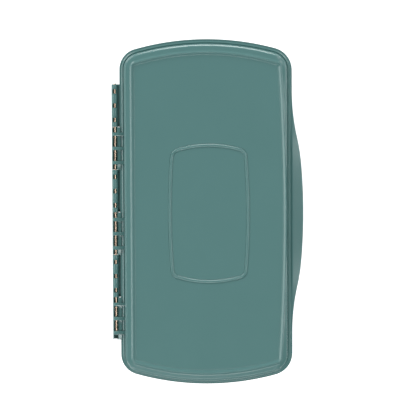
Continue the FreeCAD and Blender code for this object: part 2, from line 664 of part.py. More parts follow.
# Slit mat: a sheet with raised rows across the box, cut by slits that take the hooks.
# It is drawn lying on its back, rows up.
def build_mat(label):
    body = new_body(label)
    sheet_outline = case_outline(body, "sheet_outline", "0", "{mat_inset}")
    feature(body, "Pad", "backing", sheet_outline, "{mat_sheet}")
    row_y = "{row_pitch} * ({row_count} - 1) / 2"
    row = new_sketch(body, "row_profile", role="YZ_Plane", height="-{row_length} / 2")
    centre = value(row_y)
    foot = value("{row_foot}") / 2
    top = value("{row_top}") / 2
    low = value("{mat_sheet}")
    high = low + value("{row_height}")
    row.addGeometry([segment(centre - foot, low, centre + foot, low),
                     segment(centre + foot, low, centre + top, high),
                     segment(centre + top, high, centre - top, high),
                     segment(centre - top, high, centre - foot, low)])
    for edge in range(4):
        row.addConstraint(Sketcher.Constraint("Coincident", edge, 2, (edge + 1) % 4, 1))
    row.addConstraint(Sketcher.Constraint("Horizontal", 0))
    row.addConstraint(Sketcher.Constraint("Horizontal", 2))
    bind(row, Sketcher.Constraint("DistanceX", 0, 1, centre - foot), "foot_start",
         row_y + " - {row_foot} / 2")
    bind(row, Sketcher.Constraint("DistanceX", 0, 2, centre + foot), "foot_end",
         row_y + " + {row_foot} / 2")
    bind(row, Sketcher.Constraint("DistanceX", 2, 2, centre - top), "top_start",
         row_y + " - {row_top} / 2")
    bind(row, Sketcher.Constraint("DistanceX", 2, 1, centre + top), "top_end",
         row_y + " + {row_top} / 2")
    bind(row, Sketcher.Constraint("DistanceY", 0, 1, low), "row_low", "{mat_sheet}")
    bind(row, Sketcher.Constraint("DistanceY", 2, 1, high), "row_high",
         "{mat_sheet} + {row_height}")
    row_pad = feature(body, "Pad", "row", row, "{row_length}")
    repeat(body, "rows", [row_pad], [(int(value("{row_count}")), "{row_pitch}")])

    # each slit is one vee that runs the length of the mat and so crosses every row
    slit_x = "{slit_pitch} * ({slit_count} - 1) / 2"
    slit = new_sketch(body, "slit_profile", role="XZ_Plane", height="-{case_length} / 2")
    middle = -value(slit_x)
    mouth = value("{slit_mouth}") / 2
    bottom = high - value("{slit_depth}")
    slit.addGeometry([segment(middle, bottom, middle + mouth, high),
                      segment(middle + mouth, high, middle - mouth, high),
                      segment(middle - mouth, high, middle, bottom)])
    for edge in range(3):
        slit.addConstraint(Sketcher.Constraint("Coincident", edge, 2, (edge + 1) % 3, 1))
    slit.addConstraint(Sketcher.Constraint("Horizontal", 1))
    bind(slit, Sketcher.Constraint("DistanceX", 0, 1, middle), "slit_x", "-" + slit_x)
    bind(slit, Sketcher.Constraint("DistanceY", 0, 1, bottom), "slit_bottom",
         "{mat_sheet} + {row_height} - {slit_depth}")
    bind(slit, Sketcher.Constraint("DistanceX", 1, 1, middle + mouth), "mouth_right",
         "-" + slit_x + " + {slit_mouth} / 2")
    bind(slit, Sketcher.Constraint("DistanceX", 1, 2, middle - mouth), "mouth_left",
         "-" + slit_x + " - {slit_mouth} / 2")
    bind(slit, Sketcher.Constraint("DistanceY", 1, 1, high), "slit_top",
         "{mat_sheet} + {row_height}")
    slit_cut = feature(body, "Pocket", "slit", slit, "{case_length}", back=True)
    across = next(item for item in body.Origin.OriginFeatures if item.Role == "X_Axis")
    slits = body.newObject("PartDesign::LinearPattern", "slits")
    slits.Originals = [slit_cut]
    slits.Direction = (across, [""])
    slits.Mode = "Spacing"
    slits.Occurrences = int(value("{slit_count}"))
    slits.setExpression("Offset", sized("{slit_pitch}"))
    body.Tip = slits
    return body


parts = [build_base(), build_lid(), build_pin()]
base_mat = build_mat("base_mat")
base_mat.setExpression("Placement.Base.z", sized("{skin}"))
lid_mat = build_mat("lid_mat")
lid_mat.Placement.Rotation = FreeCAD.Rotation(FreeCAD.Vector(0, 1, 0), 180)
lid_mat.setExpression("Placement.Base.z", sized("{case_height} - {panel_depth} - {skin}"))
parts += [base_mat, lid_mat]
for side, place in (("", "upper"), ("-", "lower")):
    parts.append(build_magnet("base_magnet_" + place, side,
                              "{parting_height} - {magnet_gap} - {base_magnet_thickness}",
                              "{base_magnet_thickness}"))
    parts.append(build_magnet("lid_magnet_" + place, side,
                              "{parting_height} + {magnet_gap}", "{lid_magnet_thickness}"))
doc.recompute()

for item in doc.Objects:
    if "Invalid" in item.State or "Error" in item.State:
        raise RuntimeError("%s did not build: %s" % (item.Label, item.State))
for part in parts:
    if part.Shape.isNull() or not part.Shape.isValid():
        raise RuntimeError("%s has no valid shape" % part.Label)

os.makedirs("parts", exist_ok=True)
for part in parts:
    part.Shape.exportStep("parts/%s.step" % part.Label)
    box = part.Shape.BoundBox
    print("%-20s solids %d  volume %9.1f  X %7.2f %7.2f  Y %7.2f %7.2f  Z %6.2f %6.2f" % (
        part.Label, len(part.Shape.Solids), part.Shape.Volume,
        box.XMin, box.XMax, box.YMin, box.YMax, box.ZMin, box.ZMax))
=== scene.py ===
import math
import bmesh
import bpy
from mathutils import Matrix, Vector


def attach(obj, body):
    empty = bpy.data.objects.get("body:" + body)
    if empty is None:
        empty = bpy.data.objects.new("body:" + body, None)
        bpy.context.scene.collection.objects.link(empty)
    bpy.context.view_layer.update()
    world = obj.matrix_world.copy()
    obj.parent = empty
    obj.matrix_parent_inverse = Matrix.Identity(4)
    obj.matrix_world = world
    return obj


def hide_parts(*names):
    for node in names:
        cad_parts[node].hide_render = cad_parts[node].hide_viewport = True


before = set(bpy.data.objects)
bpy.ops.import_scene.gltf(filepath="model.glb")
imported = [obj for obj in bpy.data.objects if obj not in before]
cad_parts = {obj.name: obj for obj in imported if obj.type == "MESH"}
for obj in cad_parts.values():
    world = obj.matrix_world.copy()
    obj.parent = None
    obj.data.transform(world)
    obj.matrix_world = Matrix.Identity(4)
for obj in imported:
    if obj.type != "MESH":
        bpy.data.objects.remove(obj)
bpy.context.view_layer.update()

# Pocket fly box, shut: two moulded halves, a pinned hinge on the left, magnets in the thumb
# bulge on the right, a slit silicone mat in each half. Sizes are in millimetres.
mm = 0.001


def node(tree, kind, links=None, **settings):  # adds a node, with its settings and its links
    item = tree.nodes.new(kind)
    for name, setting in settings.items():
        setattr(item, name, setting)
    for name, source in (links or {}).items():
        for one in source if isinstance(source, list) else [source]:
            if isinstance(one, bpy.types.NodeSocket):
                tree.links.new(one, item.inputs[name])
            else:
                item.inputs[name].default_value = one
    return item


def linear(colour):  # "#rrggbb" as the screen shows it, to the linear light that shaders use
    parts = [int(colour[i:i + 2], 16) / 255 for i in (1, 3, 5)]
    light = [c / 12.92 if c <= 0.04045 else ((c + 0.055) / 1.055) ** 2.4 for c in parts]
    return (*light, 1.0)


def addObject(name, data):
    item = bpy.data.objects.new(name, data)
    bpy.context.scene.collection.objects.link(item)
    return item


# camera: nearly straight above, a little towards the box's upper end and its thumb side
view = {"distance": 1200, "tilt": 3.6, "lean": 1.6, "turn": -0.25, "aim": (0.87, 2.12, 11.7),
        "frameWidth": 217.0}
camera = addObject("camera", bpy.data.cameras.new("camera"))
camera.data.lens = camera.data.sensor_width * view["distance"] / view["frameWidth"]
towards = Vector((math.tan(math.radians(view["lean"])), math.tan(math.radians(view["tilt"])), 1))
camera.location = (Vector(view["aim"]) + towards.normalized() * view["distance"]) * mm
across = Vector((0, 1, 0)).cross(towards).normalized()
facing = Matrix((across, towards.cross(across).normalized(), towards.normalized())).transposed()
facing @= Matrix.Rotation(math.radians(view["turn"]), 3, "Z")
camera.rotation_euler = facing.to_euler()
bpy.context.scene.camera = camera
bpy.context.scene.view_settings.view_transform = "Standard"


def newMaterial(name, values):
    # a material, its node tree, its shader with values set, and its Object coordinates
    material = bpy.data.materials.new(name)
    material.use_nodes = True
    tree = material.node_tree
    shader = tree.nodes["Principled BSDF"]
    for socket, value in values.items():
        shader.inputs[socket].default_value = value
    return material, tree, shader, node(tree, "ShaderNodeTexCoord").outputs["Object"]


def noise(tree, place, size, **values):  # noise with features about size millimetres wide
    made = node(tree, "ShaderNodeTexNoise", {"Vector": place, "Scale": 1 / (size * mm), **values})
    return made.outputs["Fac"]


def colourBy(tree, shader, share, colours):
    mixed = node(tree, "ShaderNodeMix",
                 {0: share, 6: linear(colours[0]), 7: linear(colours[1])}, data_type="RGBA")
    tree.links.new(mixed.outputs[2], shader.inputs["Base Color"])


def roughBy(tree, shader, share, limits):
    # noise seldom leaves 0.3 to 0.7, so that range is spread over the limits
    rough = node(tree, "ShaderNodeMapRange",
                 {"Value": share, "From Min": 0.3, "From Max": 0.7, "To Min": limits[0],
                  "To Max": limits[1]})
    tree.links.new(rough.outputs["Result"], shader.inputs["Roughness"])


def bumpBy(tree, shader, height, depth):
    bump = node(tree, "ShaderNodeBump", {"Height": height, "Distance": depth * mm})
    tree.links.new(bump.outputs["Normal"], shader.inputs["Normal"])


# Moulded ABS, satin: a fine spark-eroded grain that spreads highlights, and cloudy flow marks
# too faint to see as marks. The real grain is about 0.05 mm, drawn at 0.3 mm so that it shows.
absLook = {"colours": ("#527a78", "#4f7674"), "flow": 45, "grain": 0.3, "grainDepth": 0.002,
           "roughness": (0.2, 0.24), "roughnessPatch": 9, "ior": 1.53}


def makeAbs(name, look):
    material, tree, shader, place = newMaterial(name, {"IOR": look["ior"]})
    flow = noise(tree, place, look["flow"], Detail=3.0, Distortion=0.8)
    colourBy(tree, shader, flow, look["colours"])
    patch = noise(tree, place, look["roughnessPatch"], Detail=4.0)
    roughBy(tree, shader, patch, look["roughness"])
    grain = noise(tree, place, look["grain"], Detail=2.0, Roughness=0.6)
    bumpBy(tree, shader, grain, look["grainDepth"])
    return material


# Drawn brass wire: bright, slightly rosy where it reflects white, with draw lines along it,
# about 0.06 mm apart
brassLook = {"colours": ("#e8c6aa", "#f6dcc8"), "line": 0.06, "lineLength": 6,
             "lineDepth": 0.0005, "roughness": (0.12, 0.15)}


def makeBrass(name, look):
    material, tree, shader, place = newMaterial(name, {"Metallic": 1.0})
    across, along = 1 / (look["line"] * mm), 1 / (look["lineLength"] * mm)
    drawn = node(tree, "ShaderNodeMapping", {"Vector": place, "Scale": (across, along, across)})
    lines = node(tree, "ShaderNodeTexNoise",
                 {"Vector": drawn.outputs["Vector"], "Scale": 1.0, "Detail": 3.0}).outputs["Fac"]
    colourBy(tree, shader, lines, look["colours"])
    roughBy(tree, shader, lines, look["roughness"])
    bumpBy(tree, shader, lines, look["lineDepth"])
    return material


# Silicone rubber, cast: milky and soft, light goes a little way in, with a dull dusty skin
siliconeLook = {"colours": ("#c9ccc8", "#b9beba"), "dust": 14, "skin": 0.5, "skinDepth": 0.01,
                "roughness": (0.42, 0.56), "ior": 1.41, "depth": 1.2, "milky": 0.35}


def makeSilicone(name, look):
    material, tree, shader, place = newMaterial(
        name, {"IOR": look["ior"], "Subsurface Weight": look["milky"],
               "Subsurface Radius": (look["depth"] * mm,) * 3, "Subsurface Scale": 1.0})
    dust = noise(tree, place, look["dust"], Detail=5.0)
    colourBy(tree, shader, dust, look["colours"])
    roughBy(tree, shader, dust, look["roughness"])
    skin = noise(tree, place, look["skin"], Detail=2.0)
    bumpBy(tree, shader, skin, look["skinDepth"])
    return material


# Nickel plate on a pressed magnet: bright, warm grey, with a barrel-tumbled surface
nickelLook = {"colours": ("#bdb8ae", "#a39d92"), "tumble": 0.35, "tumbleDepth": 0.004,
              "roughness": (0.18, 0.3)}


def makeNickel(name, look):
    material, tree, shader, place = newMaterial(name, {"Metallic": 1.0})
    tumble = noise(tree, place, look["tumble"], Detail=4.0)
    colourBy(tree, shader, tumble, look["colours"])
    roughBy(tree, shader, tumble, look["roughness"])
    bumpBy(tree, shader, tumble, look["tumbleDepth"])
    return material


mouldedAbs = makeAbs("mouldedAbs", absLook)
drawnBrass = makeBrass("drawnBrass", brassLook)
castSilicone = makeSilicone("castSilicone", siliconeLook)
nickelPlate = makeNickel("nickelPlate", nickelLook)
print("materials made")


# Outlines: two sides, two bowed ends and round corners, all tangent. Each outline starts at
# the middle of the right side and runs round through the upper end. All have the same count
# of points, so that a ring of one can be joined to a ring of another.
perEdge = {"side": 74, "corner": 16, "end": 36}
leastCorner = 0.35

rimLine = {"left": 44.9, "right": 44.7, "end": 90, "endBow": 137, "corner": 11.8,
           "leftCorner": 10.8}
ridgeLine = {"left": 38.2, "right": 41.6, "rightBow": 1140, "end": 83.3, "endBow": 127,
             "corner": 2.4}
borderLine = {"left": 20.25, "leftBow": 375, "right": 20.25, "rightBow": 375, "end": 35.35,
              "endBow": 57, "corner": 4, "x": 1.7, "y": -0.3}


def cornerCentre(side, sideBow, end, endBow, corner):
    # the centre of the arc that is tangent to a side, straight or bowed, and to a bowed end
    endY = end - endBow
    if not sideBow:
        x = side - corner
        return x, endY + math.sqrt((endBow - corner) ** 2 - x ** 2)
    sideX = side - sideBow
    span = math.hypot(sideX, endY)
    along = ((sideBow - corner) ** 2 - (endBow - corner) ** 2 + span ** 2) / (2 * span)
    off = math.sqrt((sideBow - corner) ** 2 - along ** 2)
    towardX, towardY = -sideX / span, endY / span
    return sideX + along * towardX - off * towardY, along * towardY + off * towardX


def quarter(side, sideBow, end, endBow, corner):
    # from the middle of a side to the middle of an end, the last point left out
    cornerX, cornerY = cornerCentre(side, sideBow, end, endBow, corner)
    endY = end - endBow
    tiltAngle = math.atan2(cornerY, cornerX - side + sideBow) if sideBow else 0.0
    endAngle = math.atan2(cornerY - endY, cornerX)
    points = []
    for i in range(perEdge["side"]):
        y = cornerY * i / perEdge["side"]
        if sideBow:
            y = sideBow * math.sin(tiltAngle * i / perEdge["side"])
            points.append((side - sideBow + math.sqrt(sideBow ** 2 - y ** 2), y))
        else:
            points.append((side, y))
    for i in range(perEdge["corner"]):
        angle = tiltAngle + (endAngle - tiltAngle) * i / perEdge["corner"]
        points.append((cornerX + corner * math.cos(angle), cornerY + corner * math.sin(angle)))
    half = perEdge["end"] // 2
    for i in range(half):
        angle = endAngle + (math.pi / 2 - endAngle) * i / half
        points.append((endBow * math.cos(angle), endY + endBow * math.sin(angle)))
    return points


def ring(line, inset, z):
    # the outline's points at height z, moved inwards by inset, with no corner below leastCorner
    size = {key: value - inset for key, value in line.items()}
    end, endBow = size["end"], size["endBow"]
    corner = max(size["corner"], leastCorner)
    leftCorner = max(size.get("leftCorner", corner), leastCorner)
    right = quarter(size["right"], size.get("rightBow"), end, endBow, corner)
    left = quarter(size["left"], size.get("leftBow"), end, endBow, leftCorner)
    points = right + [(0.0, end)] + [(-x, y) for x, y in reversed(left[1:])]
    points += [(-left[0][0], 0.0)] + [(-x, -y) for x, y in left[1:]]
    points += [(0.0, -end)] + [(x, -y) for x, y in reversed(right[1:])]
    dx, dy = line.get("x", 0), line.get("y", 0)
    return [Vector((x + dx, y + dy, z)) for x, y in points]


# Thumb bulge: crown, two flanks and two hollow feet, arcs that run into each other. It moves
# only points whose X is more than side.
thumb = {"peak": 5.87, "crown": 300, "crownHalf": 24, "flank": 110, "flankHalf": 38.8,
         "side": 30}


def bulge(y):  # how far the thumb bulge stands out at y, from 0 to 1
    y = abs(y)
    crownTurn = math.asin(thumb["crownHalf"] / thumb["crown"])
    flankY = (thumb["crown"] - thumb["flank"]) * math.sin(crownTurn)
    flankTurn = math.asin((thumb["flankHalf"] - flankY) / thumb["flank"])
    crownX = thumb["peak"] - thumb["crown"]
    flankX = crownX + (thumb["crown"] - thumb["flank"]) * math.cos(crownTurn)
    turnX = flankX + thumb["flank"] * math.cos(flankTurn)
    foot = turnX / (1 - math.cos(flankTurn))
    footY = thumb["flankHalf"] + foot * math.sin(flankTurn)
    if y < thumb["crownHalf"]:
        x = crownX + math.sqrt(thumb["crown"] ** 2 - y ** 2)
    elif y < thumb["flankHalf"]:
        x = flankX + math.sqrt(thumb["flank"] ** 2 - (y - flankY) ** 2)
    elif y < footY:
        x = foot - math.sqrt(foot ** 2 - (footY - y) ** 2)
    else:
        x = 0.0
    return x / thumb["peak"]


def smooth(t):
    t = min(max(t, 0.0), 1.0)
    return t * t * (3 - 2 * t)


def rimRing(inset, z, out=0, rise=0, riseFrom=0.25):
    # a ring of the rim line whose right side follows the thumb bulge outwards and upwards, and
    # is all the way up where the bulge's share is riseFrom
    points = ring(rimLine, inset, z)
    for point in points:
        if point.x > thumb["side"] and (out or rise):
            share = bulge(point.y)
            point.x += out * share
            point.z += rise * smooth(share / riseFrom)
    return points


curveShare, flatShare, flatMargin = 0.45, 0.49, 0.09


def rounded(knots):
    # Rings along a profile whose corners are rounded: a knot is a ring, how far from the
    # corner its curve starts, and how many steps the curve has. A curve takes less than half
    # of the way to the next knot, and one more ring beyond each end keeps the flat beside it.
    rings = []
    for index, (points, reach, steps) in enumerate(knots):
        if not reach:
            rings.append(points)
            continue
        layers = [[] for step in range(steps + 3)]
        for point, before, after in zip(points, knots[index - 1][0], knots[index + 1][0]):
            back, onward = before - point, after - point
            near = min(reach, curveShare * back.length, curveShare * onward.length)
            edgeBack = min(near + flatMargin, flatShare * back.length)
            edgeOnward = min(near + flatMargin, flatShare * onward.length)
            back.normalize()
            onward.normalize()
            start, end = point + back * near, point + onward * near
            weight = math.sqrt(max(0.0, (1 - back.dot(onward)) / 2))
            layers[0].append(point + back * edgeBack)
            for step in range(steps + 1):
                t = step / steps
                a, b, c = (1 - t) ** 2, 2 * t * (1 - t) * weight, t ** 2
                layers[step + 1].append((start * a + point * b + end * c) / (a + b + c))
            layers[-1].append(point + onward * edgeOnward)
        rings += layers
    return rings


def finish(piece, name, body, replaced):
    piece.name = name
    piece.data.name = name
    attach(piece, body)
    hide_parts(*replaced)
    print("made", name, len(piece.data.polygons), "faces")


def closedShell(name, rings):
    # a mesh from rings joined in order, its first and last rings filled
    mesh = bpy.data.meshes.new(name)
    work = bmesh.new()
    rows = [[work.verts.new(point * mm) for point in points] for points in rings]
    for low, high in zip(rows, rows[1:]):
        for i in range(len(low)):
            after = (i + 1) % len(low)
            work.faces.new((low[i], low[after], high[after], high[i]))
    work.faces.new(list(reversed(rows[0])))
    work.faces.new(rows[-1])
    bmesh.ops.recalc_face_normals(work, faces=work.faces)
    for face in work.faces:
        face.smooth = True
    work.to_mesh(mesh)
    work.free()
    mesh.materials.append(mouldedAbs)
    return addObject(name, mesh)


def applied(piece):
    # the piece's mesh as its modifiers leave it, in place of the modifiers
    bpy.context.view_layer.update()
    graph = bpy.context.evaluated_depsgraph_get()
    mesh = bpy.data.meshes.new_from_object(piece.evaluated_get(graph), depsgraph=graph)
    piece.modifiers.clear()
    piece.data = mesh


# Magnet seats: each case has two, which open on the parting face. For each case: the seat's
# lowest point, and its height.
seats = {"x": 46.3, "y": 26, "radius": 2.02, "sides": 64, "lid": (10, 2.05), "base": (9.13, 3)}


def cutSeats(piece, bottom, height):
    work = bmesh.new()
    for side in (1, -1):
        centre = Vector((seats["x"], side * seats["y"], bottom + height / 2)) * mm
        radius = seats["radius"] * mm
        bmesh.ops.create_cone(work, cap_ends=True, segments=seats["sides"], radius1=radius,
                              radius2=radius, depth=height * mm,
                              matrix=Matrix.Translation(centre))
    mesh = bpy.data.meshes.new("seatCutter")
    work.to_mesh(mesh)
    work.free()
    cutter = addObject("seatCutter", mesh)
    cut = piece.modifiers.new("seats", "BOOLEAN")
    cut.operation = "DIFFERENCE"
    cut.solver = "EXACT"
    cut.object = cutter
    applied(piece)
    bpy.data.objects.remove(cutter)


# Lid: from the roof inside, down the wall, round the rim and over the top. The first and last
# rings lie on the flats that they are filled across.
fillStep = 1.0
lid = {"part": 11.2, "mouth": 3.0, "roofInset": 4.4, "roof": 19.75,
       "rimTop": 12.3, "shelfEdge": 0.14, "shelfIn": 0.25, "shelfRise": 0.65, "shelfFrom": 0.8,
       "beadFoot": 0.85, "beadOuter": 1.6, "beadInner": 1.85, "beadTop": 12.68,
       "grooveInset": 2.2, "groove": 12.42, "wallInset": 2.5, "wallFoot": 13.2,
       "shoulderLowInset": 2.8, "shoulderLow": 20.55, "shoulderInset": 3.7, "shoulder": 21.25,
       "rightDrop": 0.5, "dropFrom": 35, "dropOver": 5, "crestBeside": 36, "crestStep": 0.25,
       "flankReach": 0.32, "flankZ": 21.45, "ridge": 22.0, "ridgeFlat": 0.25,
       "slopeInset": 1.5, "slopeZ": 21.27, "footInset": 2.05, "panel": 21.35,
       "borderHalf": 0.95, "borderTopHalf": 0.4, "borderProud": 0.3, "trench": 0.14,
       "trenchDepth": 0.2}

shoulderLow = rimRing(lid["shoulderLowInset"], lid["shoulderLow"])
shoulderLine = rimRing(lid["shoulderInset"], lid["shoulder"])
ridgeTop = ring(ridgeLine, 0, lid["ridge"])
for low, high, top in zip(shoulderLow, shoulderLine, ridgeTop):
    # along the thumb side the shoulder is lower, and it keeps just outside the ridge
    drop = lid["rightDrop"] * smooth((high.x - lid["dropFrom"]) / lid["dropOver"])
    low.z -= drop
    high.z -= drop
    if high.x > lid["crestBeside"]:
        high.x = max(high.x, top.x + lid["crestStep"])
# the band from the shoulder to the ridge rises gently, and more steeply close to the ridge
flankFoot = [(low * lid["flankReach"] + high * (1 - lid["flankReach"])).xy.to_3d()
             + Vector((0, 0, lid["flankZ"])) for low, high in zip(shoulderLine, ridgeTop)]

borderTop = lid["panel"] + lid["borderProud"]
trenchFloor = lid["panel"] - lid["trenchDepth"]
# each knot is a ring, the reach of its curve and the steps of its curve
lidKnots = [
    (rimRing(lid["roofInset"] + fillStep, lid["roof"]), 0, 0),
    (rimRing(lid["roofInset"], lid["roof"]), 0.8, 4),
    (rimRing(lid["mouth"], lid["part"]), 0.2, 2),
    (rimRing(0, lid["part"], out=thumb["peak"]), 0.15, 2),
    (rimRing(0, lid["rimTop"], out=thumb["peak"]), 0.35, 4),
    (rimRing(lid["shelfEdge"], lid["rimTop"], out=lid["shelfIn"], rise=lid["shelfRise"],
             riseFrom=lid["shelfFrom"]), 0.4, 4),
    (rimRing(lid["beadFoot"], lid["rimTop"]), 0.15, 2),
    (rimRing(lid["beadOuter"], lid["beadTop"]), 0.25, 4),
    (rimRing(lid["beadInner"], lid["beadTop"]), 0.25, 4),
    (rimRing(lid["grooveInset"], lid["groove"]), 0.1, 2),
    (rimRing(lid["wallInset"], lid["wallFoot"]), 0.4, 4),
    (shoulderLow, 0.3, 4),
    (shoulderLine, 0.3, 4),
    (flankFoot, 0.35, 3),
    (ridgeTop, 0.25, 4),
    (ring(ridgeLine, lid["ridgeFlat"], lid["ridge"]), 0.25, 4),
    (ring(ridgeLine, lid["slopeInset"], lid["slopeZ"]), 0.2, 3),
    (ring(ridgeLine, lid["footInset"], lid["panel"]), 0.4, 4),
]
# the ring border, over it from its outer side to its inner side
for inset, z, reach, steps in (
        (-lid["borderHalf"] - lid["trench"], lid["panel"], 0.04, 2),
        (-lid["borderHalf"], trenchFloor, 0.04, 2),
        (-lid["borderTopHalf"], borderTop, 0.36, 5),
        (lid["borderTopHalf"], borderTop, 0.36, 5),
        (lid["borderHalf"], trenchFloor, 0.04, 2),
        (lid["borderHalf"] + lid["trench"], lid["panel"], 0.04, 2),
        (lid["borderHalf"] + 2 * fillStep, lid["panel"], 0, 0)):
    lidKnots.append((ring(borderLine, inset, z), reach, steps))
lidCase = closedShell("lidCase", rounded(lidKnots))
cutSeats(lidCase, *seats["lid"])
finish(lidCase, "lidCase", "lid", ["lid_shell"])

# Base: from the floor inside, over the lip, round the rim and pod, to the underside. The wall
# leans in from the rim to the sill.
base = {"floor": 1.6, "floorInset": 4.4, "lipTop": 12.6, "lipInset": 4.0, "lipOuter": 3.25,
        "rimLow": 10.1, "podReach": 7.8, "podDrop": 0.5, "podLow": 3.05, "podLowReach": 1.9,
        "podEdge": 0.1, "wallInset": 1.9, "sillInset": 2.7, "sill": 1.3, "footInset": 4.6,
        "scoopRadius": 21, "scoopDepth": 2.5}


def wallInset(z):
    share = (z - base["sill"]) / (base["rimLow"] - base["sill"])
    return base["sillInset"] + (base["wallInset"] - base["sillInset"]) * share


podHigh, podFoot = base["podLow"] + base["podEdge"], base["podLow"] - base["podEdge"]
baseKnots = [
    (rimRing(base["floorInset"] + fillStep, base["floor"]), 0, 0),
    (rimRing(base["floorInset"], base["floor"]), 0.8, 4),
    (rimRing(base["lipInset"], base["lipTop"]), 0.2, 3),
    (rimRing(base["lipOuter"], base["lipTop"]), 0.25, 3),
    (rimRing(base["lipOuter"], lid["part"]), 0.08, 2),
    (rimRing(0, lid["part"], out=thumb["peak"]), 0.15, 2),
    (rimRing(0, base["rimLow"], out=thumb["peak"], rise=-base["podDrop"]), 0.25, 3),
    (rimRing(base["wallInset"], base["rimLow"], out=base["podReach"],
             rise=-base["podDrop"]), 0.12, 2),
    (rimRing(wallInset(podHigh), podHigh, out=base["podLowReach"]), 0.3, 4),
    (rimRing(wallInset(podFoot), podFoot), 0.1, 2),
    (rimRing(base["sillInset"], base["sill"]), 0.4, 4),
    (rimRing(base["footInset"], 0), 0.4, 4),
    (rimRing(base["footInset"] + fillStep, 0), 0, 0),
]
baseRings = rounded(baseKnots)
scoopX = rimLine["right"] + thumb["peak"] - base["scoopDepth"] + base["scoopRadius"]
for points in baseRings:  # finger scoop in the front of the pod
    for point in points:
        if point.x > thumb["side"] and abs(point.y) < base["scoopRadius"]:
            limit = scoopX - math.sqrt(base["scoopRadius"] ** 2 - point.y ** 2)
            point.x = min(point.x, limit)
baseCase = closedShell("baseCase", baseRings)
cutSeats(baseCase, *seats["base"])
finish(baseCase, "baseCase", "base", ["base_shell"])

# Hinge: six groups of knuckles on one pin, the base's and the lid's by turns, measured from
# the pin's centre. The barrel has flats of 6 degrees, and each cut falls on the middle of a
# flat, which leaves no sliver for the edge rounding to trip over.
hinge = {"x": -47.5, "z": 11.2, "length": 133.6, "groups": 6, "gap": 0.14, "radius": 1.7,
         "sides": 60, "edge": 0.045, "edgeSteps": 2, "edgeAngle": 35, "sharpAngle": 40,
         "slotZ": -1.2, "endWall": 0.6, "endEdge": 0.08, "endStep": 0.01}
groupLength = hinge["length"] / hinge["groups"]
third = groupLength / 3
barrel = groupLength - hinge["gap"]
baseGroups = {"Bore Radius": 0.72, "Web Size": (4.6, barrel, 0.56), "Web Centre": (2.4, 0, -1.42),
              "Rib Count": 0, "Window Count": 3, "Window Size": (2.0, 2.3, 4.0),
              "Window Centre": (0, 0, 1.1), "Slot Count": 4, "Slot Size": (1.38, third - 2.3, 2.4)}
lidGroups = {"Bore Radius": 0.75, "Web Size": (2.9, barrel, 1.36), "Web Centre": (1.55, 0, 0.856),
             "Rib Count": 3, "Rib Size": (6.1, 1.8, 1.9), "Rib Centre": (2.35, 0, 1.15),
             "Window Count": 4, "Window Size": (2.27, third - 1.8, 4.0),
             "Window Centre": (0, 0, 1.1), "Slot Count": 3, "Slot Size": (1.38, 1.8, 2.4)}


